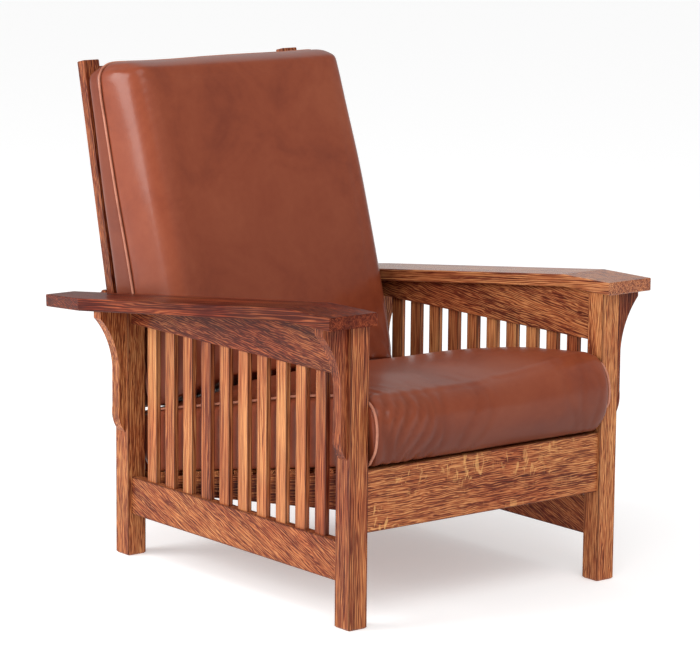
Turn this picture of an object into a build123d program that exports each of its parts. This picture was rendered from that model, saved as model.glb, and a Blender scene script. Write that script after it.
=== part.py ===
from build123d import *
import math
import os

# Mission reclining armchair in oak with loose leather cushions.
# X runs across the chair, -Y is the front, Z is up, the floor is at Z 0.
# Sizes are millimetres and angles are degrees.

# Legs and their spacing
leg_side = 44.5
frame_width = 684.0
frame_depth = 780.0
foot_ease = 3.5
edge_ease = 1.2

# Arms
arm_height = 588.5
arm_thick = 25.5
arm_width = 115.0
arm_inner_overhang = 3.4
arm_front_overhang = 19.5
arm_level_length = 136.0
arm_slope = 6.3
arm_end_margin = 23.56
arm_clip_width = 42.0
arm_clip_length = 184.0
arm_ease = 1.5

# Corbels on the outer sides of the legs
corbel_thick = 25.0
corbel_reach = 60.0
corbel_waist = 15.0
corbel_height = 257.0
corbel_block = 14.5

# Side panels
side_setback = 9.0
side_thick = 22.0
side_rail_bottom = 88.0
side_rail_height = 79.0
apron_depth = 100.5
slat_count = 10
slat_width = 33.0
slat_thick = 10.5
slat_end_gap = 49.1
slat_ease = 0.8

# Front and rear rails and the tenons of all rails
front_setback = 7.0
rail_thick = 22.0
front_rail_bottom = 185.0
front_rail_height = 122.0
rear_setback = 6.0
tenon_thick = 10.0
tenon_length = 20.0
tenon_shoulder = 8.0
mortise_relief = 1.0

# Seat support
seat_slope = 10.9
seat_frame_thick = 20.0
seat_bar_width = 55.0
seat_side_gap = 4.0
seat_slat_count = 7
seat_slat_width = 62.0
seat_slat_thick = 9.0
cleat_thick = 16.0
cleat_front_depth = 65.0
cleat_rear_depth = 18.5
cleat_lug_radius = 24.0
screw_shank = 5.0
screw_head = 9.0
screw_length = 34.0

# Back frame and its hinge
back_lean = 12.6
pivot_behind_legs = 22.4
pivot_drop = 3.0
post_width = 38.0
post_thick = 24.5
post_length = 890.5
post_foot = 16.0
crest_drop = 14.0
crest_height = 70.0
back_rail_thick = 19.0
bottom_rail_rise = 60.0
bottom_rail_height = 58.0
back_slat_count = 4
back_slat_height = 50.0
back_slat_thick = 12.0
back_tenon_length = 15.0
bolt_radius = 5.0
bolt_head_radius = 9.0
bolt_head_thick = 6.0
nut_radius = 8.5
nut_thick = 8.0
washer_radius = 11.0
washer_thick = 1.2
inner_washer_thick = 1.6

# Pegs that stop the back
peg_radius = 6.5
peg_hole_depth = 32.0
peg_stand = 54.0
peg_knob_radius = 11.0
peg_knob_length = 12.0
peg_positions = 4
peg_step = 3.33

# Cushions
seat_cushion_front_height = 146.0
seat_cushion_rear_height = 130.0
seat_cushion_side_gap = 7.5
seat_cushion_nose = 67.0
seat_cushion_rear_gap = 29.7
seat_crown = 50.0
seat_nose_crown = 16.0
back_cushion_side_gap = 10.5
back_cushion_base = 186.0
back_cushion_length = 692.0
back_cushion_foot_thick = 236.0
back_cushion_head_thick = 170.0
back_crown = 52.0
back_seam_depth = 62.0
seam_bulge = 3.0
side_panel_inset = 9.0
back_cushion_corner = 12.0

# Fits
running_fit = 0.05
seat_gap = 0.3
overrun = 20.0

# Places worked out from the sizes above
leg_outer = frame_width / 2
leg_inner = leg_outer - leg_side
front_face = -frame_depth / 2
rear_face = frame_depth / 2
front_leg_back = front_face + leg_side
rear_leg_front = rear_face - leg_side
arm_inner = leg_inner - arm_inner_overhang
arm_outer = arm_inner + arm_width
arm_front = front_face - arm_front_overhang
arm_bend = arm_front + arm_level_length
apron_bottom = arm_height - apron_depth
arm_fall = math.tan(math.radians(arm_slope))
side_outer = leg_outer - side_setback
side_inner = side_outer - side_thick
side_middle = (side_outer + side_inner) / 2
side_rail_top = side_rail_bottom + side_rail_height
slat_pitch = (rear_leg_front - front_leg_back - slat_width - 2 * slat_end_gap) / (slat_count - 1)
front_rail_top = front_rail_bottom + front_rail_height
front_rail_front = front_face + front_setback
front_rail_back = front_rail_front + rail_thick
rear_rail_back = rear_face - rear_setback
rear_rail_front = rear_rail_back - rail_thick
seat_rise = math.tan(math.radians(seat_slope))
seat_cosine = math.cos(math.radians(seat_slope))
seat_top = front_rail_top + seat_gap
seat_half = leg_inner - seat_side_gap
seat_length = (rear_rail_back - front_rail_back) / seat_cosine
seat_cushion_length = seat_length - seat_cushion_rear_gap
seat_cushion_half = leg_inner - seat_cushion_side_gap
back_cushion_half = leg_inner - back_cushion_side_gap
cleat_inner = leg_inner - cleat_thick
pivot_y = rear_face + pivot_behind_legs
back_half = cleat_inner - washer_thick - seat_gap
post_inner = back_half - post_width
lean_sine = math.sin(math.radians(back_lean))
lean_cosine = math.cos(math.radians(back_lean))


def under_arm(y):
    """Height of an arm's underside at a distance along the chair."""
    return arm_height - max(0, y - arm_bend) * arm_fall


def seat_under(y):
    """Height of the seat frame's underside at a distance along the chair."""
    return seat_top - (y - front_rail_back) * seat_rise - seat_frame_thick / seat_cosine


pivot_height = seat_under(pivot_y) - pivot_drop


def block(x_range, y_range, z_range):
    """A box between two limits along each axis."""
    size = [abs(b - a) for a, b in (x_range, y_range, z_range)]
    middle = [(a + b) / 2 for a, b in (x_range, y_range, z_range)]
    return Pos(*middle) * Box(*size)


def side_profile(points, x_range):
    """A board cut to an outline of (y, z) points, from one X to another."""
    x_start, x_end = sorted(x_range)
    outline = make_face(Polyline(*points, close=True))
    return extrude(Plane.YZ.offset(x_start) * outline, amount=x_end - x_start)


def rod(radius, x_range, y, z):
    """A round rod along X."""
    x_start, x_end = sorted(x_range)
    return Pos(x_start, y, z) * Rot(0, 90, 0) * Cylinder(
        radius, x_end - x_start, align=(Align.CENTER, Align.CENTER, Align.MIN))


def eased(board, axis, size=edge_ease):
    """Breaks the long edges of a straight board."""
    return chamfer(board.edges().filter_by(axis), size)


def both_sides(maker):
    """The left and the right piece of a mirrored pair."""
    right = maker()
    return {"left": mirror(right, Plane.YZ), "right": right}


def tenon_x(y, z_range):
    """Tenon on the right end of a rail that runs across the chair."""
    return block((leg_inner, leg_inner + tenon_length), (y - tenon_thick / 2, y + tenon_thick / 2),
                 (z_range[0] + tenon_shoulder, z_range[1] - tenon_shoulder))


def tenon_y(y_shoulder, direction, z_range):
    """Tenon on one end of a board in the right side panel."""
    y_end = y_shoulder + direction * tenon_length
    return block((side_middle - tenon_thick / 2, side_middle + tenon_thick / 2), (y_shoulder, y_end),
                 (z_range[0] + tenon_shoulder, z_range[1] - tenon_shoulder))


def mortise(tenon, x_relief, y_relief):
    """The hole for a tenon, a little deeper than the tenon is long."""
    return tenon + Pos(x_relief, y_relief, 0) * tenon


# Side panel boards, right side

def make_side_rail():
    rail = block((side_inner, side_outer), (front_leg_back, rear_leg_front), (side_rail_bottom, side_rail_top))
    return eased(rail, Axis.Y) + side_tenons()


def side_tenons():
    heights = (side_rail_bottom, side_rail_top)
    return tenon_y(front_leg_back, -1, heights) + tenon_y(rear_leg_front, 1, heights)


def make_apron():
    outline = [(front_leg_back, apron_bottom), (rear_leg_front, apron_bottom),
               (rear_leg_front, under_arm(rear_leg_front)), (arm_bend, arm_height), (front_leg_back, arm_height)]
    apron = side_profile(outline, (side_inner, side_outer))
    lower_edges = apron.edges().filter_by(Axis.Y).group_by(Axis.Z)[0]
    return chamfer(lower_edges, edge_ease) + apron_tenons()


def apron_tenons():
    front = tenon_y(front_leg_back, -1, (apron_bottom, arm_height))
    return front + tenon_y(rear_leg_front, 1, (apron_bottom, under_arm(rear_leg_front + tenon_length)))


def slat_place(number):
    """Centre of a side slat, counted from the front."""
    return (number - (slat_count + 1) / 2) * slat_pitch


def make_side_slat(number):
    y = slat_place(number)
    x_range = (side_middle - slat_thick / 2, side_middle + slat_thick / 2)
    y_range = (y - slat_width / 2, y + slat_width / 2)
    return eased(block(x_range, y_range, (side_rail_top, apron_bottom)), Axis.Z, slat_ease)


# Rails across the chair

def make_front_rail():
    heights = (front_rail_bottom, front_rail_top)
    rail = eased(block((-leg_inner, leg_inner), (front_rail_front, front_rail_back), heights), Axis.X)
    right = front_tenon()
    return rail + right + mirror(right, Plane.YZ)


def front_tenon():
    return tenon_x((front_rail_front + front_rail_back) / 2, (front_rail_bottom, front_rail_top))


def make_rear_rail():
    rail = eased(block((-leg_inner, leg_inner), (rear_rail_front, rear_rail_back), rear_heights), Axis.X)
    right = rear_tenon()
    rail = rail + right + mirror(right, Plane.YZ)
    return rail - cleat_board() - mirror(cleat_board(), Plane.YZ)


def rear_tenon():
    return tenon_x((rear_rail_front + rear_rail_back) / 2, (side_rail_bottom, seat_under(rear_rail_back)))


rear_heights = (side_rail_bottom, seat_under(rear_rail_back) - seat_gap)


# Cleats that carry the seat and the hinge of the back, right side

def cleat_board():
    outline = [(front_rail_back, seat_under(front_rail_back)), (pivot_y, seat_under(pivot_y)),
               (pivot_y, pivot_height - cleat_lug_radius),
               (rear_leg_front, seat_under(rear_leg_front) - cleat_rear_depth),
               (front_rail_back, seat_under(front_rail_back) - cleat_front_depth)]
    board = side_profile(outline, (cleat_inner, leg_inner))
    return board + rod(cleat_lug_radius, (cleat_inner, leg_inner), pivot_y, pivot_height)


def screw_places():
    """Where the screws pass through a cleat into the legs, as (y, z)."""
    depth_share = 0.5
    places = []
    for y in ((front_rail_back + front_leg_back) / 2, (rear_leg_front + rear_rail_front) / 2):
        for depth in (screw_head, (cleat_front_depth if y < 0 else cleat_rear_depth) - screw_head):
            places.append((y, seat_under(y) - depth))
    front_pair, rear_pair = places[:2], places[2:]
    rear_single = (rear_pair[0][0], seat_under(rear_pair[0][0]) - cleat_rear_depth * depth_share)
    return front_pair + [rear_single]


def wood_screw(y, z, clearance=0.0):
    """A countersunk screw driven outwards from a cleat's inner face."""
    shank = rod(screw_shank / 2 + clearance, (cleat_inner, cleat_inner + screw_length), y, z)
    head_depth = (screw_head - screw_shank) / 2
    head = Cone(screw_head / 2 + clearance, screw_shank / 2 + clearance, head_depth,
                align=(Align.CENTER, Align.CENTER, Align.MIN))
    return shank + Pos(cleat_inner, y, z) * Rot(0, 90, 0) * head


def make_cleat():
    cleat = cleat_board() - rod(bolt_radius + running_fit, (cleat_inner - overrun, leg_inner + overrun),
                                pivot_y, pivot_height)
    for y, z in screw_places():
        cleat -= wood_screw(y, z, running_fit)
    return cleat


def make_cleat_screws():
    right = [wood_screw(y, z) for y, z in screw_places()]
    return Compound(children=right + [mirror(screw, Plane.YZ) for screw in right])


# Legs and corbels, right side

def leg_body(y_range):
    y_front, y_rear = y_range
    outline = [(y_front, 0), (y_rear, 0), (y_rear, under_arm(y_rear)), (y_front, under_arm(y_front))]
    leg = side_profile(outline, (leg_inner, leg_outer))
    leg = chamfer(leg.faces().sort_by(Axis.Z)[0].edges(), foot_ease)
    return chamfer(leg.edges().filter_by(Axis.Z), edge_ease)


def make_front_leg():
    leg = leg_body((front_face, front_leg_back))
    leg -= mortise(side_tenons() + apron_tenons(), 0, -mortise_relief)
    leg -= mortise(front_tenon(), mortise_relief, 0)
    for y, z in screw_places():
        leg -= wood_screw(y, z, running_fit)
    return leg


def make_rear_leg():
    leg = leg_body((rear_leg_front, rear_face))
    leg -= mortise(side_tenons() + apron_tenons(), 0, mortise_relief)
    leg -= mortise(rear_tenon(), mortise_relief, 0)
    for y, z in screw_places():
        leg -= wood_screw(y, z, running_fit)
    return leg


sweep_middle_shares = (0.36, 0.41)
sweep_end_share = 0.465
waist_end_share = 0.79
tip_middle_shares = (0.74, 0.93)


def make_corbel(y):
    top = under_arm(y)
    reach_line = corbel_reach - corbel_waist
    block_foot = top - corbel_block
    sweep_end = top - corbel_height * sweep_end_share
    waist_end = top - corbel_height * waist_end_share
    tip = top - corbel_height
    sweep_middle = (leg_outer + corbel_waist + reach_line * sweep_middle_shares[0],
                    block_foot - (block_foot - sweep_end) * sweep_middle_shares[1])
    tip_middle = (leg_outer + corbel_waist * tip_middle_shares[0], top - corbel_height * tip_middle_shares[1])
    above = top + overrun
    edges = [
        Polyline((leg_outer, tip), (leg_outer, above), (leg_outer + corbel_reach, above),
                 (leg_outer + corbel_reach, block_foot)),
        ThreePointArc((leg_outer + corbel_reach, block_foot), sweep_middle, (leg_outer + corbel_waist, sweep_end)),
        Line((leg_outer + corbel_waist, sweep_end), (leg_outer + corbel_waist, waist_end)),
        ThreePointArc((leg_outer + corbel_waist, waist_end), tip_middle, (leg_outer, tip)),
    ]
    outline = make_face(edges)
    corbel = extrude(Plane.XZ.offset(-(y + corbel_thick / 2)) * outline, amount=corbel_thick)
    return corbel - arm_board()


# Arms, right side

def arm_board():
    """The bent board, one thickness measured square to each part of it."""
    fall_sine = math.sin(math.radians(arm_slope))
    fall_cosine = math.cos(math.radians(arm_slope))
    bend_shift = arm_thick * math.tan(math.radians(arm_slope / 2))
    outline = [(arm_front, arm_height), (arm_bend, arm_height), (arm_rear, under_arm(arm_rear)),
               (arm_rear + arm_thick * fall_sine, under_arm(arm_rear) + arm_thick * fall_cosine),
               (arm_bend + bend_shift, arm_height + arm_thick), (arm_front, arm_height + arm_thick)]
    return side_profile(outline, (arm_inner, arm_outer))


def peg_place(step):
    """Centre of a peg hole, where the back rests this many steps past its upright place."""
    lean = math.radians(back_lean + step * peg_step)
    middle_at_bend = arm_height + arm_thick / 2 - arm_thick / 2 * math.tan(math.radians(arm_slope / 2)) * arm_fall
    reach = post_thick / 2 + peg_radius + seat_gap
    level = middle_at_bend + arm_bend * arm_fall
    y = (reach + pivot_y * math.cos(lean) + (level - pivot_height) * math.sin(lean)) / (
        math.cos(lean) + arm_fall * math.sin(lean))
    return y, level - y * arm_fall


arm_rear = peg_place(peg_positions - 1)[0] + arm_end_margin


def make_arm():
    arm = arm_board()
    over_arm = arm_height + arm_thick + overrun
    clip = make_face(Polyline((arm_outer, arm_rear - arm_clip_length), (arm_outer - arm_clip_width, arm_rear),
                              (arm_outer - arm_clip_width - arm_clip_width / arm_clip_length * overrun,
                               arm_rear + overrun),
                              (arm_outer + overrun, arm_rear + overrun),
                              (arm_outer + overrun, arm_rear - arm_clip_length), close=True))
    arm -= extrude(clip, amount=over_arm)
    kept = [edge for edge in arm.edges() if abs(edge.center().Y - arm_bend) > arm_thick or
            abs(edge.tangent_at(0).X) < lean_sine]
    arm = chamfer(kept, arm_ease)
    for step in range(peg_positions):
        y, z = peg_place(step)
        arm -= rod(peg_radius + running_fit, (arm_inner - overrun, arm_inner + peg_hole_depth), y, z)
    return arm


def make_peg():
    y, z = peg_place(peg_positions - 1)
    tip = arm_inner + peg_hole_depth - mortise_relief
    shank = rod(peg_radius, (arm_inner - peg_stand, tip), y, z)
    knob_end = arm_inner - peg_stand - peg_knob_length
    knob = rod(peg_knob_radius, (knob_end, arm_inner - peg_stand), y, z)
    knob = chamfer(knob.edges().filter_by(GeomType.CIRCLE), peg_knob_length / 4)
    return shank + knob


# Seat frame, laid out on its own sloping plane

seat_place = Plane(origin=(0, front_rail_back, seat_top), x_dir=(1, 0, 0),
                   z_dir=(0, math.sin(math.radians(seat_slope)), seat_cosine)).location


def seat_bar(x_range, y_range, z_range):
    return seat_place * block(x_range, y_range, z_range)


def make_seat_frame():
    full = (-seat_frame_thick, 0)
    low = (-seat_frame_thick, -seat_slat_thick)
    front_end = seat_gap + seat_frame_thick * seat_rise
    rear_end = seat_length
    bars = {
        "seat_frame_front": seat_bar((-seat_half, seat_half), (front_end, front_end + seat_bar_width), full),
        "seat_frame_rear": seat_bar((-seat_half, seat_half), (rear_end - seat_bar_width, rear_end), full),
    }
    inner_span = (front_end + seat_bar_width, rear_end - seat_bar_width)
    right = seat_bar((seat_half - seat_bar_width, seat_half), inner_span, low)
    bars["seat_frame_left"] = mirror(right, Plane.YZ)
    bars["seat_frame_right"] = right
    return bars


def make_seat_slats():
    start = seat_gap + seat_frame_thick * seat_rise + seat_bar_width
    span = seat_length - seat_bar_width - start
    gap = (span - seat_slat_count * seat_slat_width) / (seat_slat_count + 1)
    slats = []
    for number in range(seat_slat_count):
        front = start + gap + number * (seat_slat_width + gap)
        slats.append(seat_bar((-seat_half, seat_half), (front, front + seat_slat_width), (-seat_slat_thick, 0)))
    return Compound(children=slats)


# Back frame, laid out upright about its hinge and then leaned

back_place = Plane(origin=(0, pivot_y, pivot_height), x_dir=(1, 0, 0), z_dir=(0, lean_sine, lean_cosine)).location


def back_rail(z_range, thick):
    """A rail of the ladder, tenoned into both posts."""
    rail = eased(block((-post_inner, post_inner), (-thick / 2, thick / 2), z_range), Axis.X, slat_ease)
    return rail + back_tenons(z_range)


def back_tenons(z_range):
    right = block((post_inner, post_inner + back_tenon_length), (-tenon_thick / 2, tenon_thick / 2),
                  (z_range[0] + tenon_shoulder, z_range[1] - tenon_shoulder))
    return right + mirror(right, Plane.YZ)


def back_levels():
    """Lower and upper edge and thickness of each rail, above the hinge."""
    levels = {"back_bottom_rail": (bottom_rail_rise, bottom_rail_rise + bottom_rail_height, back_rail_thick)}
    crest_top = post_length - crest_drop
    start = bottom_rail_rise + bottom_rail_height
    span = crest_top - crest_height - start
    gap = (span - back_slat_count * back_slat_height) / (back_slat_count + 1)
    for number in range(back_slat_count):
        foot = start + gap + number * (back_slat_height + gap)
        levels[f"back_slat_{number + 1}"] = (foot, foot + back_slat_height, back_slat_thick)
    levels["back_crest_rail"] = (crest_top - crest_height, crest_top, back_rail_thick)
    return levels


def make_back_post():
    post = block((post_inner, back_half), (-post_thick / 2, post_thick / 2), (-post_foot, post_length))
    foot_edges = post.edges().filter_by(Axis.X).group_by(Axis.Z)[0]
    post = fillet(foot_edges, post_thick / 2 - edge_ease)
    post = chamfer(post.faces().sort_by(Axis.Z)[-1].edges(), edge_ease)
    for low, high, thick in back_levels().values():
        hole = block((post_inner - overrun, post_inner + back_tenon_length + mortise_relief),
                     (-tenon_thick / 2, tenon_thick / 2), (low + tenon_shoulder, high - tenon_shoulder))
        post -= hole
    return post - rod(bolt_radius + running_fit, (post_inner - overrun, back_half + overrun), 0, 0)


# Hinge hardware, right side, standing still while the back turns

def ring(outer, inner, x_range):
    return rod(outer, x_range, pivot_y, pivot_height) - rod(inner, x_range, pivot_y, pivot_height)


def hexagon(radius, x_range):
    x_start, x_end = sorted(x_range)
    head = extrude(Plane.YZ.offset(x_start) * RegularPolygon(radius, 6), amount=x_end - x_start)
    return Pos(0, pivot_y, pivot_height) * head


nut_face = post_inner - seat_gap - inner_washer_thick


def make_pivot_bolt():
    shank = rod(bolt_radius, (nut_face - nut_thick - mortise_relief, leg_inner), pivot_y, pivot_height)
    return shank + hexagon(bolt_head_radius, (leg_inner, leg_inner + bolt_head_thick))


def make_pivot_washers():
    gap_washer = ring(washer_radius, bolt_radius, (back_half + seat_gap, cleat_inner))
    nut_washer = ring(washer_radius, bolt_radius, (nut_face, nut_face + inner_washer_thick))
    right = [gap_washer, nut_washer]
    return Compound(children=right + [mirror(washer, Plane.YZ) for washer in right])


def make_pivot_nuts():
    nut = hexagon(nut_radius, (nut_face - nut_thick, nut_face))
    nut -= rod(bolt_radius, (nut_face - nut_thick, nut_face), pivot_y, pivot_height)
    return Compound(children=[nut, mirror(nut, Plane.YZ)])


# Cushions are lofts across the chair through side outlines of lines and arcs.
# Each station is a share of the half width, then of the crown and of the drawn-in side there.

station_shares = [(1.0, 0.0, 0.8), (0.985, 0.17, 0.6), (0.95, 0.40, 0.25), (0.89, 0.60, 0.0),
                  (0.58, 0.92, 0.0), (0.0, 1.0, 0.0)]


def loft_across(half_width, outline):
    """Lofts a mirrored row of outlines and closes each end with a slightly bulged side panel."""
    stations = [(half_width + seam_bulge, outline(0, 1, side_panel_inset))]
    stations += [(half_width * place, outline(crown, draw, 0)) for place, crown, draw in station_shares]
    row = [(-x, face) for x, face in stations] + [(x, face) for x, face in reversed(stations[:-1])]
    return loft([Plane.YZ.offset(x) * face for x, face in row], ruled=True)


nose_shares = {"top": 0.6, "low": 0.15, "rear": 0.57, "under": 0.25}
seat_height_shares = {"low": 0.36, "high": 0.68, "under": 0.097, "rear": 0.5, "rear_high": 0.75}
seat_peak_share = 0.40
corner_shares = (0.22, 0.36)


def seat_outline(crown, draw, inset):
    """Side outline of the seat cushion: distance behind the front rail, height over the seat frame."""
    front_height = seat_cushion_front_height - inset
    rear_height = seat_cushion_rear_height - inset
    nose = -seat_cushion_nose + inset - crown * seat_nose_crown
    rear = seat_cushion_length - inset + crown * seam_bulge
    nose_rear = seat_cushion_nose * nose_shares["rear"]
    rear_round = seat_cushion_rear_height * seat_height_shares["rear"]
    top_front = (-seat_cushion_nose * nose_shares["top"] + inset, front_height - seam_bulge)
    nose_low = (nose + seat_cushion_nose * nose_shares["low"], front_height * seat_height_shares["low"])
    peak = (front_height + rear_height) / 2 + seam_bulge + crown * seat_crown
    edges = [
        Line((nose_rear, inset), (rear - rear_round, inset)),
        ThreePointArc((rear - rear_round, inset),
                      (rear - rear_round * corner_shares[0], rear_round * corner_shares[1]), (rear, rear_round)),
        ThreePointArc((rear, rear_round),
                      (rear + seam_bulge, seat_cushion_rear_height * seat_height_shares["rear_high"]),
                      (rear - seam_bulge, rear_height)),
        ThreePointArc((rear - seam_bulge, rear_height), (rear * seat_peak_share, peak), top_front),
        ThreePointArc(top_front, (nose, front_height * seat_height_shares["high"]), nose_low),
        ThreePointArc(nose_low, (nose * nose_shares["under"] + seam_bulge,
                                 front_height * seat_height_shares["under"] + inset), (nose_rear, inset)),
    ]
    return make_face(edges)


def back_outline(crown, draw, inset):
    """Side outline of the back cushion: distance behind the hinge plane, height above the hinge."""
    back_plane = -post_thick / 2 - seat_gap
    rear = back_plane - draw * back_seam_depth
    foot = back_cushion_base + inset
    head = back_cushion_base + back_cushion_length - inset - crown * seam_bulge
    foot_front = back_plane - (back_cushion_foot_thick - (1 - crown) * back_crown) + inset
    head_front = back_plane - (back_cushion_head_thick - (1 - crown) * back_crown) + inset
    corner = back_cushion_corner
    middle = (foot + head) / 2
    edges = [
        Line((rear, foot + corner), (rear, head - corner)),
        ThreePointArc((rear, head - corner), ((rear + head_front) / 2, head), (head_front, head - corner * 2)),
        ThreePointArc((head_front, head - corner * 2), ((foot_front + head_front) / 2 - corner, middle),
                      (foot_front, foot + corner)),
        ThreePointArc((foot_front, foot + corner), ((rear + foot_front) / 2, foot), (rear, foot + corner)),
    ]
    return make_face(edges)


def make_all():
    parts = {}
    for side, leg in both_sides(make_front_leg).items():
        parts[f"front_leg_{side}"] = leg
    for side, leg in both_sides(make_rear_leg).items():
        parts[f"rear_leg_{side}"] = leg
    front_middle = (front_face + front_leg_back) / 2
    rear_middle = (rear_leg_front + rear_face) / 2
    makers = {
        "front_corbel": lambda: make_corbel(front_middle),
        "rear_corbel": lambda: make_corbel(rear_middle),
        "arm": make_arm,
        "arm_apron": make_apron,
        "side_rail": make_side_rail,
        "seat_cleat": make_cleat,
        "support_peg": make_peg,
        "pivot_bolt": make_pivot_bolt,
        "back_post": lambda: back_place * make_back_post(),
    }
    for name, maker in makers.items():
        for side, piece in both_sides(maker).items():
            parts[f"{name}_{side}"] = piece
    for number in range(1, slat_count + 1):
        for side, slat in both_sides(lambda: make_side_slat(number)).items():
            parts[f"side_slat_{side}_{number:02d}"] = slat
    parts["front_rail"] = make_front_rail()
    parts["rear_rail"] = make_rear_rail()
    parts["cleat_screws"] = make_cleat_screws()
    parts.update(make_seat_frame())
    parts["seat_slats"] = make_seat_slats()
    for name, (low, high, thick) in back_levels().items():
        parts[name] = back_place * back_rail((low, high), thick)
    parts["pivot_washers"] = make_pivot_washers()
    parts["pivot_nuts"] = make_pivot_nuts()
    parts["seat_cushion"] = seat_place * Pos(0, 0, seat_gap) * loft_across(seat_cushion_half, seat_outline)
    parts["back_cushion"] = back_place * loft_across(back_cushion_half, back_outline)
    return parts


# The chair stands with the middle of its overall depth at the origin
parts = make_all()
boxes = [piece.bounding_box() for piece in parts.values()]
middle = (min(box.min.Y for box in boxes) + max(box.max.Y for box in boxes)) / 2
os.makedirs("parts", exist_ok=True)
for name, piece in parts.items():
    export_step(Pos(0, -middle, 0) * piece, f"parts/{name}.step")
print(len(parts), "pieces, middle of the depth at", round(middle, 2))
print("hinge at", round(pivot_y - middle, 3), round(pivot_height, 3))
for step in range(peg_positions):
    print("peg hole", step + 1, [round(value, 2) for value in peg_place(step)])
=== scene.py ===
import math
import bpy
import numpy as np
from mathutils import Matrix, Vector, noise
from mathutils.bvhtree import BVHTree
from mathutils.kdtree import KDTree


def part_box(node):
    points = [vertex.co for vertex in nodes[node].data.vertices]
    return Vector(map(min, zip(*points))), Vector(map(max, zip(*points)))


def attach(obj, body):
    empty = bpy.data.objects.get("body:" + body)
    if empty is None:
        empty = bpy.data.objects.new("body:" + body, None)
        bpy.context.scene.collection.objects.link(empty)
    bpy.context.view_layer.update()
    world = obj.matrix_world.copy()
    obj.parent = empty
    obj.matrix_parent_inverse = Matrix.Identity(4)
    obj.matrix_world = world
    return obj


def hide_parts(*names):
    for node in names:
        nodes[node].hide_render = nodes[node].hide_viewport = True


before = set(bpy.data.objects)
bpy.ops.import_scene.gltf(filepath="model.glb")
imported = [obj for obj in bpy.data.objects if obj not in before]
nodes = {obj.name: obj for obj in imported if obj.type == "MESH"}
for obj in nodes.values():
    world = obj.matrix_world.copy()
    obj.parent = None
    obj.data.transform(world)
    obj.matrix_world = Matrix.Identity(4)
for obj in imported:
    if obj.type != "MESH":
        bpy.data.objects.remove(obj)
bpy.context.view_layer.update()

print("chair loaded,", len(nodes), "pieces")


def pick(piece):  # only this piece selected and active
    bpy.ops.object.select_all(action="DESELECT")
    piece.select_set(True)
    bpy.context.view_layer.objects.active = piece


def placesOf(mesh, kind="co"):
    places = np.zeros(len(mesh.vertices) * 3)
    mesh.vertices.foreach_get(kind, places)
    return places.reshape(-1, 3)


def settle(mesh, places):
    mesh.vertices.foreach_set("co", places.ravel())
    mesh.update()


def toLocal(places, axes):
    inward = np.array(axes.inverted())
    return places @ inward[:3, :3].T + inward[:3, 3]


def toWorld(local, axes):
    outward = np.array(axes)
    return local @ outward[:3, :3].T + outward[:3, 3]


# materials: sockets that add and multiply like numbers
class Wire:
    def __init__(self, tree, socket=None):
        self.tree, self.socket = tree, socket

    def node(self, kind, settings, values, output=0):
        made = self.tree.nodes.new("ShaderNode" + kind)
        for key, value in settings.items():
            if key != "stops":
                setattr(made, key, value)
                continue
            ramp = made.color_ramp
            ramp.elements[0].position, ramp.elements[-1].position = value[0][0], value[-1][0]
            for place, colour in value[1:-1]:
                ramp.elements.new(place)
            for element, (place, colour) in zip(ramp.elements, value):
                element.color = (*colour, 1)
        for key, value in values.items():
            if isinstance(value, Wire):
                self.tree.links.new(value.socket, made.inputs[key])
            else:
                made.inputs[key].default_value = value
        return Wire(self.tree, made.outputs[output])

    def math(self, operation, first, second=0.0, clamp=False):
        return self.node("Math", {"operation": operation, "use_clamp": clamp}, {0: first, 1: second})

    def __add__(self, other):
        return self.math("ADD", self, other)

    def __sub__(self, other):
        return self.math("SUBTRACT", self, other)

    def __rsub__(self, other):
        return self.math("SUBTRACT", other, self)

    def __mul__(self, other):
        return self.math("MULTIPLY", self, other)

    __radd__, __rmul__ = __add__, __mul__

    def above(self, level, slope):  # 0 below the level, rising to 1
        return self.math("MULTIPLY", self - level, slope, clamp=True)

    def vector(self, operation, other=(0, 0, 0)):
        return self.node("VectorMath", {"operation": operation}, {0: self, 1: other})

    def part(self, axis):
        return self.node("SeparateXYZ", {}, {0: self}, axis)

    def cloud(self, kind, length=1.0):  # kind: repeats along and across, detail, roughness, distortion
        along, across, detail, roughness, distortion = kind
        place = self.vector("MULTIPLY", (along / length, across, across))
        return self.node("TexNoise", {}, {"Vector": place, "Scale": 1.0, "Detail": detail,
                                          "Roughness": roughness, "Distortion": distortion})

    def ramp(self, places, colours):
        return self.node("ValToRGB", {"stops": list(zip(places, colours))}, {0: self})

    def bump(self, strength, distance):
        return self.node("Bump", {}, {"Strength": strength, "Distance": distance, "Height": self})

    def mixed(self, factor, under, over, blend="MIX"):
        return self.node("Mix", {"data_type": "RGBA", "blend_type": blend}, {0: factor, 6: under, 7: over}, 2)


def freshMaterial(name):
    material = bpy.data.materials.new(name)
    material.use_nodes = True
    shader = material.node_tree.nodes["Principled BSDF"]
    return material, Wire(material.node_tree), shader


def feed(shader, **values):
    for key, value in values.items():
        inlet = shader.inputs[key.replace("_", " ")]
        if isinstance(value, Wire):
            value.tree.links.new(value.socket, inlet)
        else:
            inlet.default_value = value


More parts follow.
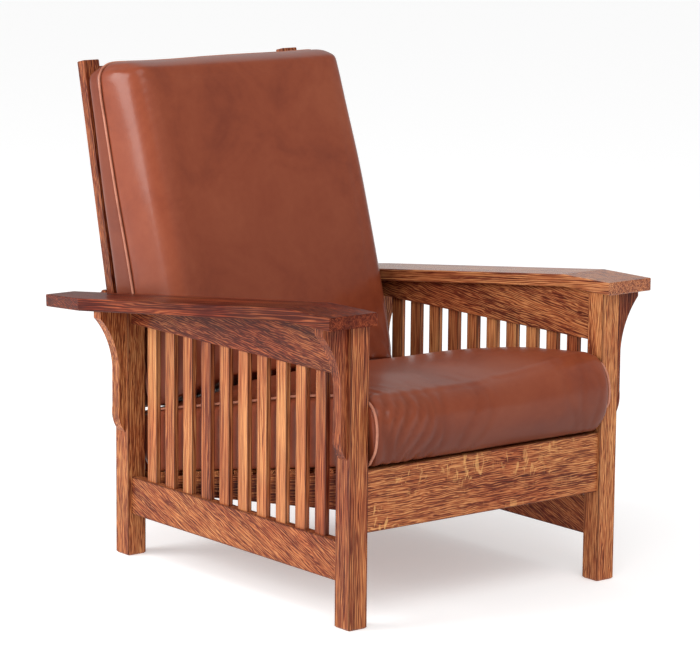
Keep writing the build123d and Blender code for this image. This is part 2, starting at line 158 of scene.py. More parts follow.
oak = {
    "dark": (0.070, 0.016, 0.009), "brown": (0.190, 0.045, 0.019), "warm": (0.385, 0.122, 0.042),
    "honey": (0.640, 0.300, 0.115), "stops": (0.12, 0.36, 0.60, 0.98),
    "seedBeats": (1.7, 2.9, 4.3), "seedReach": 3,
    "bands": (1.6, 30, 3.0, 0.5, 0.5), "bandShare": 0.75,
    "streaks": (8, 150, 3.0, 0.6, 0.4), "streakShare": 0.85,
    "waves": 1500, "waveDrift": (14, 60, 2.0, 0.5, 0.5), "waveBend": 26, "waveShare": 0.15,
    "breaks": (34, 420, 2.0, 0.5, 0.3), "dashShare": 0.7, "dashRise": (0.56, 9.0),
    "middleTone": 0.65, "fleck": 0.5, "fleckTone": 1.3, "leastFleck": 0.12, "darkDash": 0.6,
    "pore": (0.040, 0.010, 0.006), "pores": (90, 1100, 2.0, 0.6, 0.0), "poreRise": (0.58, 8.0),
    "poreShare": 0.35,
    "stainAndShade": (0.72, 0.38, 0.38), "blotches": (5, 5, 2.0, 0.55, 0.0), "blotchRise": (0.42, 4.0),
    "blotchShare": 0.5, "stainTone": 1.8,
    "ray": (0.700, 0.360, 0.130), "flakes": (44, 17, 3.0, 0.55, 2.2), "flakeRise": (0.55, 12.0),
    "patches": (6, 13, 1.0, 0.55, 0.0), "patchRise": (0.47, 7.0),
    "edge": (0.050, 0.013, 0.008), "edgeWidth": 0.0024, "edgeStart": 1.45, "edgeFloor": 0.25,
    "edgeShare": 0.8,
    "dashHeight": 0.7, "poreHeight": -0.7, "bumpStrength": 0.4, "bumpDepth": 0.0006,
    "roughness": 0.30, "roughDash": 0.3, "roughGloss": 0.45, "coatRoughness": 0.12, "specularGloss": 0.7,
}


def oakBoard(name, direction, seed, tone, rays, length, straight, gloss):
    material, wire, shader = freshMaterial(name)
    place = wire.node("TexCoord", {}, {}, 3)
    shift = [math.sin(seed * beat) * oak["seedReach"] for beat in oak["seedBeats"]]
    grain = wire.node("Mapping", {}, {"Vector": place, "Location": shift, "Rotation": direction})
    streaks = grain.cloud(oak["streaks"], length)
    drift = grain.cloud(oak["waveDrift"], length) * oak["waveBend"]
    waves = wire.math("SINE", (grain.part(1) + grain.part(2)) * oak["waves"] + drift)
    dashes = waves * oak["waveShare"] + grain.cloud(oak["breaks"], length)
    pores = grain.cloud(oak["pores"], length).above(*oak["poreRise"])
    figure = grain.cloud(oak["bands"]) * oak["bandShare"] + streaks * oak["streakShare"]
    figure = figure + dashes * oak["dashShare"] - (oak["middleTone"] - tone)
    colour = figure.ramp(oak["stops"], (oak["dark"], oak["brown"], oak["warm"], oak["honey"]))
    fleck = max(oak["leastFleck"], oak["fleck"] + tone * oak["fleckTone"])
    colour = wire.mixed(dashes.above(*oak["dashRise"]) * fleck, colour, (*oak["honey"], 1))
    colour = wire.mixed((1 - dashes).above(*oak["dashRise"]) * oak["darkDash"], colour, (*oak["dark"], 1))
    colour = wire.mixed(pores * oak["poreShare"], colour, (*oak["pore"], 1))
    stainAndShade = place.cloud(oak["blotches"]).above(*oak["blotchRise"]) * oak["blotchShare"]
    # a darker tone deepens the stain as well, so on the boards whose tone is painted shade this darkening is
    # painted shade too
    stainAndShade = stainAndShade + max(0, -tone) * oak["stainTone"]
    colour = wire.mixed(stainAndShade, colour, (*oak["stainAndShade"], 1), "MULTIPLY")
    if rays:  # flakes cross the grain of quarter-sawn boards in loose patches
        flakes = grain.cloud(oak["flakes"]).above(*oak["flakeRise"])
        patches = grain.cloud(oak["patches"]).above(*oak["patchRise"])
        colour = wire.mixed(flakes * patches * rays, colour, (*oak["ray"], 1))
    if straight:  # stain gathers along the long edges of a straight board
        axes, middle, half = straight
        offset = place.vector("SUBTRACT", middle).vector("ABSOLUTE")
        gaps = [half[axis] - offset.part(axis) for axis in axes]
        edge = wire.math("MAXIMUM", gaps[0], gaps[1]) * (-1 / oak["edgeWidth"]) + oak["edgeStart"]
        edge = wire.math("MULTIPLY", edge, streaks + oak["edgeFloor"], clamp=True)
        colour = wire.mixed(edge * oak["edgeShare"], colour, (*oak["edge"], 1))
    height = dashes * oak["dashHeight"] + pores * oak["poreHeight"]
    feed(shader, Base_Color=colour, Normal=height.bump(oak["bumpStrength"], oak["bumpDepth"]),
         Roughness=dashes * oak["roughDash"] + (oak["roughness"] - gloss * oak["roughGloss"]),
         Coat_Weight=gloss, Coat_Roughness=oak["coatRoughness"],
         Specular_IOR_Level=gloss * oak["specularGloss"])
    return material


leather = {
    "deep": (0.165, 0.032, 0.014), "body": (0.222, 0.047, 0.019), "worn": (0.262, 0.064, 0.027),
    # the near-black colour on the next line is painted shade, mixed in wherever a cushion carries its
    # painted-shade attribute
    "stops": (0.25, 0.5, 0.80), "crease": (0.060, 0.014, 0.008), "paintedShadeShare": 0.8,
    # the piping colour is much lighter than the body as a painted highlight along the cords
    "piping": (0.470, 0.190, 0.120),
    "mottle": (7, 7, 5.0, 0.6, 0.8), "mottleShare": 0.8, "fine": (60, 60, 3.0, 0.6, 0.0), "fineShare": 0.2,
    "pebbles": 520.0, "pebbleHeight": 0.6, "wrinkles": (140, 140, 4.0, 0.65, 1.5), "bumpDepth": 0.0005,
    "roughness": 0.29, "roughMottle": 0.16, "coat": 0.34, "coatRoughness": 0.20, "specular": 0.12,
    "hideBump": 0.28, "pipingBump": 0.2,
}


def leatherHide(name, strength, body):
    material, wire, shader = freshMaterial(name)
    place = wire.node("TexCoord", {}, {}, 3)
    mottle = place.cloud(leather["mottle"])
    tone = mottle * leather["mottleShare"] + place.cloud(leather["fine"]) * leather["fineShare"]
    colour = tone.ramp(leather["stops"], (leather["deep"], body, leather["worn"]))
    # painted shade: the per-point attribute darkens the hide in seams, pull lines and recesses, and thins its
    # coat there
    paintedShadeMask = wire.node("Attribute", {"attribute_name": "crease"}, {}, 2)
    shade = wire.math("MULTIPLY", paintedShadeMask, leather["paintedShadeShare"], clamp=True)
    pebbles = wire.node("TexVoronoi", {}, {"Vector": place, "Scale": leather["pebbles"]})
    height = pebbles * leather["pebbleHeight"] + place.cloud(leather["wrinkles"])
    feed(shader, Base_Color=wire.mixed(shade, colour, (*leather["crease"], 1)),
         Roughness=mottle * leather["roughMottle"] + leather["roughness"],
         Normal=height.bump(strength, leather["bumpDepth"]),
         Coat_Weight=leather["coat"] - paintedShadeMask * leather["coat"],
         Coat_Roughness=leather["coatRoughness"], Specular_IOR_Level=leather["specular"])
    return material


steel = {
    "dark": (0.20, 0.18, 0.15), "bright": (0.42, 0.39, 0.34), "stops": (0.3, 0.7),
    "scratches": (40, 900, 3.0, 0.55, 0.0), "roughness": 0.25, "roughScratch": 0.3,
}


def steelBar(name):
    material, wire, shader = freshMaterial(name)
    scratches = wire.node("TexCoord", {}, {}, 3).cloud(steel["scratches"])
    feed(shader, Base_Color=scratches.ramp(steel["stops"], (steel["dark"], steel["bright"])), Metallic=1.0,
         Roughness=scratches * steel["roughScratch"] + steel["roughness"])
    return material


# every carried-over piece gets its own board of oak, so no two show the same figure
quarter = math.pi / 2
lean, armFall, seatFall = math.radians(12.6), math.radians(6.3), math.radians(10.9)
upright, sideways = (0, quarter, 0), (0, 0, 0)
downArm, downSeat, upBack = (armFall, 0, -quarter), (seatFall, 0, -quarter), (lean, quarter, 0)
downApron, downRail = (-0.12, 0, -quarter), (-0.38, 0, -quarter)
boards = {  # start of the name: grain direction, tone, ray flakes, length of the figure, edge axes, gloss
    # tone is each board's own colour, except that the darker tones of the near arm, the near arm apron and
    # the front corbels are painted shade, and the far front leg's lighter tone is partly its own golden
    # colour and partly painted light
    "front_leg_right": (upright, 0.17, 0.0, 1.2, (0, 1), 0.10),
    "front_leg": (upright, -0.06, 0.0, 2.2, (0, 1), 0.10),
    "rear_leg": (upright, 0.02, 0.0, 1.2, (0, 1), 0.10),
    "front_corbel": (upright, -0.20, 0.0, 1.4, None, 0.10),
    "rear_corbel": (upright, 0.0, 0.0, 1.0, None, 0.10),
    "arm_apron_right": (downApron, -0.04, 0.0, 1.2, None, 0.10),
    "arm_apron": (downApron, -0.17, 0.0, 1.0, None, 0.10),
    "arm_right": (downArm, 0.02, 0.0, 2.5, None, 0.30),
    "arm_": (downArm, -0.27, 0.0, 3.5, None, 0.06),
    "side_rail": (downRail, -0.03, 0.0, 1.0, (0, 2), 0.10),
    "side_slat": (upright, 0.04, 0.0, 3.5, (0, 1), 0.10),
    "front_rail": (sideways, 0.03, 0.6, 1.0, (1, 2), 0.10),
    "rear_rail": (sideways, 0.0, 0.5, 1.0, None, 0.10),
    "seat_cleat": (downSeat, -0.05, 0.0, 1.5, None, 0.05),
    "seat_frame_front": (sideways, 0.0, 0.0, 1.5, None, 0.05),
    "seat_frame_rear": (sideways, 0.0, 0.0, 1.5, None, 0.05),
    "seat_frame": (downSeat, 0.0, 0.0, 1.5, None, 0.05),
    "seat_slats": (sideways, 0.0, 0.0, 1.5, None, 0.05),
    "back_post": (upBack, -0.16, 0.0, 1.0, None, 0.12),
    "back_": (sideways, -0.05, 0.3, 1.2, None, 0.12),
    "support_peg": (sideways, -0.06, 0.0, 1.0, None, 0.12),
}
slatTones = {1: -0.10, 2: 0.08, 3: 0.20, 4: 0.12, 5: 0.20, 6: 0.04, 7: -0.10, 8: 0.07, 9: -0.02, 10: 0.10}
blackened = steelBar("blackenedSteel")
for number, name in enumerate(sorted(nodes)):
    if name in ("seat_cushion", "back_cushion"):
        continue
    if name.startswith(("pivot", "cleat_screws")):
        finish = blackened
    else:
        key = next(start for start in boards if name.startswith(start))
        direction, tone, rays, length, axes, gloss = boards[key]
        if key == "side_slat":
            tone += slatTones[int(name[-2:])]
        low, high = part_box(name)
        straight = axes and (axes, (low + high) / 2, (high - low) / 2)
        finish = oakBoard("oak_" + name, direction, number + 1.0, tone, rays, length, straight, gloss)
    nodes[name].data.materials.clear()
    nodes[name].data.materials.append(finish)
print("oak and steel finished")

# cushions: covers made from the solids, with a cord in each seam
hide = leatherHide("brownLeather", leather["hideBump"], leather["body"])
# the cords get the lighter leather, a painted highlight
pipingPaintedHighlightHide = leatherHide("pipingLeatherPaintedHighlight", leather["pipingBump"], leather["piping"])
stuffing = {"slack": 0.003, "pressure": 4.0, "stiffness": 16.0, "bending": 0.8, "mass": 0.35, "quality": 6,
            "steps": 20, "smooth": 3, "evenness": 0.5, "weld": 0.0001}
piping = {"radius": 0.0027, "proud": 0.35, "lift": 1.4, "rings": 3, "order": 3, "steps": 4}
seam = {"parts": 8, "reach": 0.018, "width": 0.0065, "depth": 0.0022, "shade": 0.75}


def rise(value, start, end):  # 0 before the start, easing to 1 at the end
    share = np.clip((value - start) / (end - start), 0, 1)
    return share * share * (3 - 2 * share)


def fade(value, start, end):  # the same in a straight line, and the start may lie above the end
    return min(1.0, max(0.0, (value - start) / (end - start)))


def groove(value, centre, width):
    return math.exp(-((value - centre) / width) ** 2)


def relax(piece, rounds):
    pick(piece)
    bpy.ops.object.modifier_add(type="SMOOTH")
    piece.modifiers[-1].factor, piece.modifiers[-1].iterations = stuffing["evenness"], rounds
    bpy.ops.object.modifier_apply(modifier=piece.modifiers[-1].name)


def inflate(name, spec):  # a slack copy of the solid is blown up like a stuffed cover
    piece = bpy.data.objects.new(name, nodes[spec["node"]].data.copy())
    bpy.context.scene.collection.objects.link(piece)
    pick(piece)
    bpy.ops.object.mode_set(mode="EDIT")
    bpy.ops.mesh.select_all(action="SELECT")
    bpy.ops.mesh.remove_doubles(threshold=stuffing["weld"])
    bpy.ops.mesh.normals_make_consistent(inside=False)
    bpy.ops.object.mode_set(mode="OBJECT")
    piece.data.remesh_voxel_size = spec["voxel"]
    bpy.ops.object.voxel_remesh()
    local = toLocal(placesOf(piece.data), spec["axes"])
    settle(piece.data, toWorld(spec["form"](local, spec), spec["axes"]))
    relax(piece, spec["relax"])
    outward = placesOf(piece.data, "normal")
    slack = placesOf(piece.data) - outward * stuffing["slack"]
    settle(piece.data, slack)
    bpy.ops.object.modifier_add(type="CLOTH")
    cloth = piece.modifiers[-1]
    cloth.settings.quality = stuffing["quality"]
    cloth.settings.mass = stuffing["mass"]
    cloth.settings.use_pressure = True
    cloth.settings.uniform_pressure_force = stuffing["pressure"]
    cloth.settings.tension_stiffness = cloth.settings.compression_stiffness = stuffing["stiffness"]
    cloth.settings.bending_stiffness = stuffing["bending"]
    cloth.settings.effector_weights.gravity = 0
    cloth.point_cache.frame_end = stuffing["steps"]
    for step in range(1, stuffing["steps"] + 1):
        bpy.context.scene.frame_set(step)
    blown = piece.evaluated_get(bpy.context.evaluated_depsgraph_get()).data
    move = np.nan_to_num(placesOf(blown) - slack)
    print(name, "swelled by up to", round(float(np.abs(move).max()), 4))
    bpy.ops.object.modifier_remove(modifier=cloth.name)
    swell = np.clip((move * outward).sum(axis=1, keepdims=True), stuffing["slack"], spec["swell"])
    settle(piece.data, slack + outward * swell)
    relax(piece, stuffing["smooth"])
    bpy.context.scene.frame_set(1)
    return piece


def meet(piece, under, spec):  # the foot of a cushion settles onto the one under it
    skin = BVHTree.FromObject(under, bpy.context.evaluated_depsgraph_get())
    down = spec["axes"].to_3x3() @ Vector((0, 0, -1))
    local = toLocal(placesOf(piece.data), spec["axes"])
    foot = local[:, 2].min()
    drop = np.zeros(len(local))
    for index in np.nonzero(local[:, 2] < foot + spec["footHeight"])[0]:
        start = local[index].copy()
        start[2] = foot
        reach = skin.ray_cast(spec["axes"] @ Vector(start), down)[3]
        if reach is not None:
            share = 1 - rise(local[index][2], foot, foot + spec["footHeight"])
            drop[index] = min(spec["footDrop"], max(0.0, reach - spec["footGap"])) * share
    local[:, 2] -= drop
    settle(piece.data, toWorld(local, spec["axes"]))
    relax(piece, spec["footSmooth"])


def finishCushion(piece, spec, routes):
    places, outward = placesOf(piece.data), placesOf(piece.data, "normal")
    shades = np.zeros(len(places))
    for index, spot in enumerate(toLocal(places, spec["axes"])):
        sink, shades[index] = spec["folds"](*spot, spec)
        places[index] -= outward[index] * sink
    local = toLocal(places, spec["axes"])
    spare = spec["spareWidth"] * rise(-local[:, 1], *spec["spareFront"])
    for axis, (least, most) in enumerate(spec["limits"]):
        room = spare if axis == 0 else 0.0
        local[:, axis] = np.clip(local[:, axis], least - room, most + room)
    settle(piece.data, toWorld(local, spec["axes"]))
    # the per-point painted shade is stored on the cover for its material
    piece.data.attributes.new("crease", "FLOAT", "POINT").data.foreach_set("value", shades)
    pick(piece)
    bpy.ops.object.modifier_add(type="SUBSURF")
    piece.modifiers[-1].levels = piece.modifiers[-1].render_levels = 1
    bpy.ops.object.modifier_apply(modifier=piece.modifiers[-1].name)
    bpy.ops.object.shade_smooth()
    skin = BVHTree.FromObject(piece, bpy.context.evaluated_depsgraph_get())
    places, outward = placesOf(piece.data), placesOf(piece.data, "normal")
    shades = np.zeros(len(places))
    # the seam dips add their painted shade to the same attribute
    crease = piece.data.attributes["crease"].data
    crease.foreach_get("value", shades)
    for label, rays in routes.items():
        points = followRays(skin, rays, spec["axes"])
        makePiping(label, points, spec)
        sinkSeam(places, outward, shades, points)
    settle(piece.data, places)
    crease.foreach_set("value", shades)
    piece.data.materials.clear()
    piece.data.materials.append(hide)
    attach(piece, spec["body"])
    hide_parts(spec["node"])


def followRays(skin, rays, axes):  # where rays from inside the cushion meet its cover
    points = []
    for origin, direction in rays:
        spot, normal = skin.ray_cast(axes @ Vector(origin), axes.to_3x3() @ Vector(direction))[:2]
        if spot is not None:
            point = axes.inverted() @ (spot + normal * piping["radius"] * piping["proud"])
            point.z = max(point.z, piping["radius"] * piping["lift"])  # the cord never drags on the deck
            points.append(axes @ point)
    return points


def sinkSeam(places, outward, shades, points):  # the cover dips into its seam, and the dip is darkened with painted shade
    parts = range(seam["parts"])
    ends = [(points[index - 1], points[index]) for index in range(len(points))]
    steps = [start.lerp(end, part / seam["parts"]) for start, end in ends for part in parts]
    line = KDTree(len(steps))
    for index, spot in enumerate(steps):
        line.insert(spot, index)
    line.balance()
    for index, spot in enumerate(places):
        gap = line.find(spot)[2]
        if gap < seam["reach"]:
            dip = groove(gap, 0, seam["width"])
            places[index] -= outward[index] * dip * seam["depth"]
            # painted shade in the seam dip
            shades[index] = max(shades[index], dip * seam["shade"])


def makePiping(label, points, spec):
    curve = bpy.data.curves.new(label, "CURVE")
    curve.dimensions = "3D"
    curve.bevel_depth, curve.bevel_resolution = piping["radius"], piping["rings"]
    spline = curve.splines.new("NURBS")
    spline.points.add(len(points) - 1)
    for knot, spot in zip(spline.points, points):
        knot.co = (*spot, 1)
    spline.use_cyclic_u, spline.order_u, spline.resolution_u = True, piping["order"], piping["steps"]
    cord = bpy.data.objects.new(label, curve)
    bpy.context.scene.collection.objects.link(cord)
    pick(cord)
    bpy.ops.object.convert(target="MESH")
    bpy.ops.object.shade_smooth()
    cord.data.materials.clear()
    cord.data.materials.append(pipingPaintedHighlightHide)
    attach(cord, spec["body"])


def fan(middle, first, last, count, plane):  # rays that turn about a point, from one angle to another
    rays = []
    for step in range(count):
        angle = math.radians(first + (last - first) * step / (count - 1))
        rays.append((middle, plane(math.cos(angle), math.sin(angle))))
    return rays


def softness(spot, spec):  # the slow hollows of a stuffed cover
    ways = zip(spot, spec["softRepeats"], spec["softShift"])
    place = Vector([value * repeats + shift for value, repeats, shift in ways])
    return noise.noise(place) * spec["softDepth"]


def seatForm(local, spec):  # the ends swell out in front of the legs and the nose sags onto the rail
    x, back, up = local.T.copy()
    aside = np.abs(x)
    ends = rise(aside, *spec["ends"])
    x += np.sign(x) * ends * rise(-back, *spec["nose"]) * spec["endSwell"]
    low = np.clip(1 - up / spec["sagHeight"], 0, 1)
    up -= low * (rise(-back, *spec["noseSagging"]) * spec["noseSag"] + ends * spec["endSag"])
    back += rise(back, *spec["tail"]) * spec["tailReach"]
    corner = rise(up, *spec["cornerUp"]) * rise(back, *spec["cornerBack"]) * rise(aside, *spec["cornerAside"])
    up += corner * np.where(x < 0, *spec["cornerRise"])
    rear = rise(back, *spec["rear"])
    crown = rise(x, *spec["crownRight"]) * (1 - rear) * spec["crownRise"]
    crown = crown - rise(-x, *spec["rearLeft"]) * rear * spec["rearDrop"] - spec["crownDrop"]
    up += rise(up, *spec["crownUp"]) * crown
    return np.stack((x, back, np.maximum(up, spec["limits"][2][0])), axis=1)


def seatFoldsAndShade(x, back, up, spec):
    front = fade(back, *spec["foldBack"]) * fade(up, *spec["foldUp"])
    sink = shade = 0.0
    for place, depth, width, slant in spec["pulls"]:
        wander = spec["wander"] * math.sin(up * spec["wanderUp"] + place * spec["wanderAcross"])
        bend = place + slant * (up - spec["pullUp"]) + wander
        pull = groove(x, bend, width) * front
        welt = groove(x, bend + width * spec["weltAside"], width * spec["weltWidth"]) * front
        sink += (pull - welt * spec["weltShare"]) * depth * spec["pullDepth"]
        # painted shade darkens each pull line
        shade += pull * depth * spec["pullShade"]
    # painted shade: the front darkens toward the bottom of the nose, by the rail
    low = fade(up, *spec["lowUp"]) * fade(back, *spec["lowBack"])
    return sink + softness((x, back, up), spec), min(spec["mostShade"], shade + low * spec["lowShade"])


def seatSeam(side):  # round the side panel, just inside the corner, and outwards with the swollen nose
    x, up = side * seatCushion["seamAside"][side], seatCushion["seamUp"]
    front, rear = seatCushion["seamFront"], seatCushion["seamRear"]
    count, turns, tilt = seatCushion["seamRays"], seatCushion["seamTurns"], seatCushion["seamTilt"]
    plane = lambda a, b: (side * seatCushion["seamLean"] * max(0.0, -a), a, b)
    steps = [(rear - front) * step / (count - 1) for step in range(count)]
    rays = [((x, front + step, up), (0, 0, 1)) for step in steps]
    rays += fan((x, rear, up), 90 - tilt, tilt - 90, turns, plane)
    rays += [((x, rear - step, up), (0, 0, -1)) for step in steps]
    return rays + fan((x, front, up), -90 - tilt, tilt - 270, turns, plane)


def backForm(local, spec):  # a squarer roll at the sides than the plain solid has
    x, depth, up = local.T.copy()
    half, rearFace = spec["half"], spec["limits"][1][1]
    share = np.clip(np.abs(x) / half, 0, 1)
    plain = np.interp(share, spec["plainPlaces"], spec["plainHeights"])
    wide = np.where(x < 0, *spec["rollWidths"])
    bend = np.clip((np.abs(x) - half + wide) / wide, 0, 1)
    roll = spec["rollDepth"] * (1 - np.sqrt(1 - bend * bend)) + spec["crownDepth"] * share * share
    drawn = np.interp(share, spec["drawnPlaces"], spec["drawnShares"])
    thick = spec["footThick"] - (up - spec["foot"]) / spec["tall"] * spec["taper"]
    rear, newRear = drawn * spec["plainDraw"], drawn * spec["newDraw"]
    front, newFront = thick - (1 - plain) * spec["plainRoll"], thick - roll
    depth = rearFace - newRear - (rearFace - rear - depth) * (newFront - newRear) / (front - rear)
    up -= rise(up, *spec["head"]) * spec["headDrop"]
    for side, radius in spec["upperCorners"]:
        over = np.maximum(0, side * x - half + radius)
        high = np.maximum(0, up - spec["cornerTop"] + radius)
        cut = 1 - np.maximum(over, high) / np.maximum(np.hypot(over, high), 1e-6)
        x -= side * over * cut
        up -= high * cut
    return np.stack((x, depth, up), axis=1)


def backSeamDepth(up):  # nearer the back at the top
    return backCushion["seamDepth"] - (backCushion["seamDatum"] - up) * backCushion["seamSlope"]


def backFoldsAndShade(x, depth, up, spec):
    foot = fade(up, *spec["foldUp"])
    sink = shade = 0.0
    for place, slant in spec["pulls"]:
        pull = groove(x, place + slant * (up - spec["pullUp"]), spec["pullWidth"]) * foot
        sink += pull * spec["pullDepth"]
        # painted shade darkens each pull line
        shade += pull * spec["pullShade"]
    side = fade(abs(x), *spec["sideAside"])
    line = backSeamDepth(up)
    # painted shade: the strip of each side behind the seam is darker
    shade += side * spec["sideShade"] * fade(depth, line, line + spec["sideFade"])
    # painted shadow: the lower rear of each side is darker, as under the arms
    shade += side * spec["lowShade"] * fade(up, *spec["lowUp"]) * fade(depth, *spec["lowDepth"])
    return sink + softness((x, depth, up), spec), min(spec["mostShade"], shade)


def backSeam():  # round the sides, the top and the bottom
    wide, low, high = backCushion["seamWide"], backCushion["seamLow"], backCushion["seamHigh"]
    count, turns, tilt = backCushion["seamRays"], backCushion["seamTurns"], backCushion["seamTilt"]
    corners = [(wide, low), (wide, high), (-wide, high), (-wide, low)]
    plane = lambda a, b: (a, 0, b)
    ring = []
    for index, start in enumerate(corners):
        end = corners[(index + 1) % len(corners)]
        facing = 90 * index
        way = math.radians(facing)
        for step in range(count):
            share = step / (count - 1)
            x, up = start[0] + (end[0] - start[0]) * share, start[1] + (end[1] - start[1]) * share
            ring.append(((x, backSeamDepth(up), up), plane(math.cos(way), math.sin(way))))
        ring += fan((end[0], backSeamDepth(end[1]), end[1]), facing + tilt, facing + 90 - tilt, turns, plane)
    return ring


# places and lengths are metres along a cushion's own axes, and most pairs are an easing's start and end
seatCushion = {
    "node": "seat_cushion", "body": "seat_cushion", "form": seatForm, "folds": seatFoldsAndShade,
    "axes": Matrix.Translation((0, -0.456, 0.3076)) @ Matrix.Rotation(-seatFall, 4, "X"),
    "fill": 0.85, "voxel": 0.0075, "relax": 14, "swell": 0.006,
    "limits": ((-0.2965, 0.2965), (-0.098, 0.744), (0.0006, 0.215)),
    "spareWidth": 0.014, "spareFront": (0.032, 0.040),
    "ends": (0.17, 0.29), "nose": (0.034, 0.062), "endSwell": 0.013,
    "sagHeight": 0.075, "noseSagging": (-0.03, 0.05), "noseSag": 0.030, "endSag": 0.014,
    "tail": (0.62, 0.73), "tailReach": 0.012,
    "cornerUp": (0.04, 0.11), "cornerBack": (0.45, 0.70), "cornerAside": (0.20, 0.285),
    "cornerRise": (0.010, 0.003),
    "rear": (0.05, 0.42), "crownUp": (0.07, 0.14), "crownRight": (-0.02, 0.26), "crownRise": 0.023,
    "rearLeft": (0.12, 0.27), "rearDrop": 0.007, "crownDrop": 0.009,
    "foldBack": (0.075, 0.005), "foldUp": (0.165, 0.115), "pullUp": 0.07, "pullDepth": 1.5, "pullShade": 120,
    "wander": 0.012, "wanderUp": 38, "wanderAcross": 40, "weltAside": 2, "weltWidth": 1.4, "weltShare": 0.5,
    # painted shade on the lower nose, and the most painted shade anywhere on the seat
    "lowUp": (0.13, 0.0), "lowBack": (0.06, 0.0), "lowShade": 0.75, "mostShade": 0.75,
    "softRepeats": (9, 7, 9), "softShift": (0, 0, 0), "softDepth": 0.0016,
    "seamAside": {-1: 0.282, 1: 0.285}, "seamUp": 0.068, "seamFront": 0.02, "seamRear": 0.66,
    "seamLean": 0.17, "seamRays": 25, "seamTurns": 13, "seamTilt": 4,
    "pulls": (  # place across the chair, depth, width and lean of each pull line on the front
        (-0.272, 0.0030, 0.0060, 0.10), (-0.255, 0.0026, 0.0050, 0.16), (-0.236, 0.0030, 0.0070, 0.12),
        (-0.214, 0.0022, 0.0050, 0.22), (-0.192, 0.0020, 0.0060, 0.20), (-0.165, 0.0016, 0.0070, 0.25),
        (-0.138, 0.0014, 0.0060, 0.28), (-0.068, 0.0008, 0.0070, 0.2), (-0.036, 0.0007, 0.0070, 0.1),
        (0.190, 0.0006, 0.0070, -0.2), (0.226, 0.0007, 0.0060, -0.2), (0.262, 0.0007, 0.0060, -0.15)),
}
backCushion = {
    "node": "back_cushion", "body": "back", "form": backForm, "folds": backFoldsAndShade,
    "axes": Matrix.Translation((0, 0.3174, 0.135)) @ Matrix.Rotation(-lean, 4, "X"),
    "fill": 0.9, "voxel": 0.0075, "relax": 5, "swell": 0.005,
    "limits": ((-0.2915, 0.2915), (-0.262, -0.0128), (0.140, 0.884)),
    "spareWidth": 0.0, "spareFront": (0.0, 1.0),
    "footHeight": 0.09, "footGap": 0.006, "footDrop": 0.040, "footSmooth": 2,
    "half": 0.2885, "foot": 0.186, "tall": 0.692, "footThick": 0.236, "taper": 0.066,
    "plainPlaces": (0, 0.58, 0.89, 0.95, 0.985, 1), "plainHeights": (1, 0.92, 0.60, 0.40, 0.17, 0),
    "plainRoll": 0.052,
    "drawnPlaces": (0, 0.89, 0.95, 0.985, 1), "drawnShares": (0, 0, 0.25, 0.6, 0.8),
    "plainDraw": 0.062, "newDraw": 0.022,
    "rollWidths": (0.056, 0.042), "rollDepth": 0.090, "crownDepth": 0.008,
    "head": (0.78, 0.87), "headDrop": 0.0025,
    "cornerTop": 0.8765, "upperCorners": ((-1, 0.036), (1, 0.014)),  # side and radius, rounder on the left
    "foldUp": (0.34, 0.22), "pullUp": 0.22, "pullWidth": 0.009, "pullDepth": 0.0024, "pullShade": 0.16,
    "pulls": ((-0.235, 0.9), (-0.19, 0.6), (0.20, -0.6), (0.245, -0.9)),
    # painted shade on the rear strip of each side, and painted shadow low on the sides under the arms
    "sideAside": (0.264, 0.274), "sideShade": 0.42, "sideFade": 0.004,
    "lowUp": (0.41, 0.37), "lowDepth": (-0.22, -0.17), "lowShade": 0.6, "mostShade": 1.0,
    "softRepeats": (6, 6, 6), "softShift": (5, 0, 0), "softDepth": 0.0018,
    "seamDepth": -0.0725, "seamDatum": 0.84, "seamSlope": 0.063,
    "seamWide": 0.22, "seamLow": 0.26, "seamHigh": 0.80, "seamRays": 22, "seamTurns": 9, "seamTilt": 4,
}

seat = inflate("seatCushionCover", seatCushion)
finishCushion(seat, seatCushion, {"seatPipingLeft": seatSeam(-1), "seatPipingRight": seatSeam(1)})
print("seat cushion stuffed")
rest = inflate("backCushionCover", backCushion)
meet(rest, seat, backCushion)
finishCushion(rest, backCushion, {"backPiping": backSeam()})
print("back cushion stuffed")

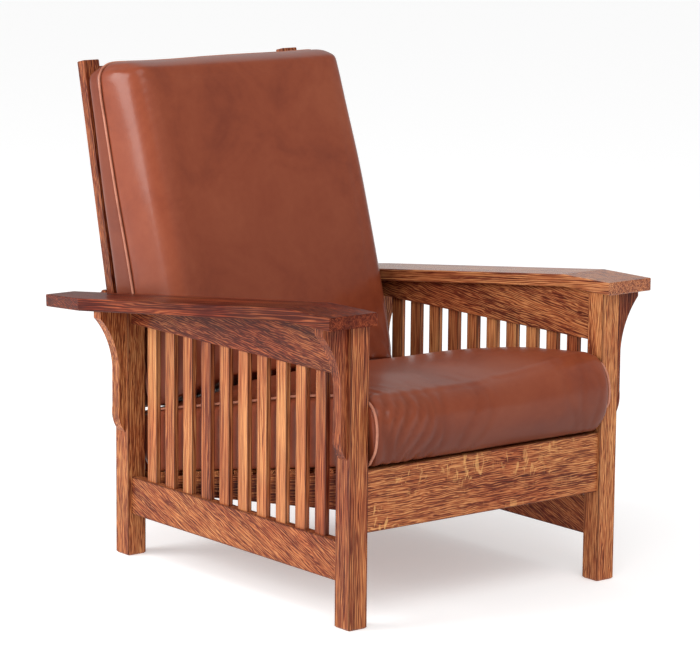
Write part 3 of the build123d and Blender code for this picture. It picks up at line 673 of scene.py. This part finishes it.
# floor, light and camera
studio = {
    "floorSize": 90.0, "floorTone": 0.80, "floorGlow": 0.36, "floorRoughness": 0.9, "floorSpecular": 0.1,
    "sky": 0.55, "sunAngle": 35.0, "aim": (0, 0, 0.5),
    "lamps": {  # kind, place, power and size
        "ceilingLight": ("SUN", (-2.6, -3.0, 5.2), 0.8, None),
        "softbox": ("AREA", (-4.0, 1.7, 2.2), 185.0, (3.0, 2.4)),
        "fillCard": ("AREA", (-0.8, -4.8, 4.0), 110.0, (5.0, 4.0)),
    },
}
bpy.ops.object.select_all(action="DESELECT")
bpy.ops.mesh.primitive_plane_add(size=studio["floorSize"], location=(0, 0, 0))
floor = bpy.context.active_object
floor.name = "studioFloor"
paper, _, paperShader = freshMaterial("paper")
grey = studio["floorTone"]
feed(paperShader, Base_Color=(grey, grey, grey, 1), Roughness=studio["floorRoughness"],
     Specular_IOR_Level=studio["floorSpecular"],
     Emission_Color=(1, 1, 1, 1), Emission_Strength=studio["floorGlow"])
floor.data.materials.append(paper)

world = bpy.data.worlds.new("studioSky")
world.use_nodes = True
world.node_tree.nodes["Background"].inputs[0].default_value = (1, 1, 1, 1)
world.node_tree.nodes["Background"].inputs[1].default_value = studio["sky"]
bpy.context.scene.world = world


def lamp(name, kind, spot, power, size):
    light = bpy.data.lights.new(name, kind)
    light.energy = power
    if kind == "SUN":
        light.angle = math.radians(studio["sunAngle"])
    else:
        light.shape, light.size, light.size_y = "RECTANGLE", size[0], size[1]
    holder = bpy.data.objects.new(name, light)
    bpy.context.scene.collection.objects.link(holder)
    holder.location = spot
    holder.visible_glossy = name != "fillCard"  # the card lifts the shadows and isn't seen in the leather
    holder.rotation_euler = (Vector(studio["aim"]) - Vector(spot)).to_track_quat("-Z", "Y").to_euler()


for name, settings in studio["lamps"].items():
    lamp(name, *settings)

view = {"azimuth": -38.51, "elevation": 10.13, "roll": 0.53, "lens": 166.13, "sensor": 36, "farthest": 200,
        "distance": 6.64227, "aside": -0.02743, "above": 0.47789, "middle": -0.095}
turn, tilt, roll = (math.radians(view[key]) for key in ("azimuth", "elevation", "roll"))
away = Vector((math.sin(turn) * math.cos(tilt), -math.cos(turn) * math.cos(tilt), math.sin(tilt)))
right = Vector((0, 0, 1)).cross(away).normalized()
up = away.cross(right)
camera = bpy.data.objects.new("camera", bpy.data.cameras.new("camera"))
bpy.context.scene.collection.objects.link(camera)
camera.location = away * view["distance"] + right * view["aside"] + up * view["above"]
camera.location.y += view["middle"]
rightward = right * math.cos(roll) + up * math.sin(roll)
upward = up * math.cos(roll) - right * math.sin(roll)
camera.rotation_euler = Matrix((rightward, upward, away)).transposed().to_euler()
camera.data.lens, camera.data.sensor_width = view["lens"], view["sensor"]
camera.data.clip_end = view["farthest"]
bpy.context.scene.camera = camera
bpy.context.scene.view_settings.view_transform = "Standard"
print("studio set")
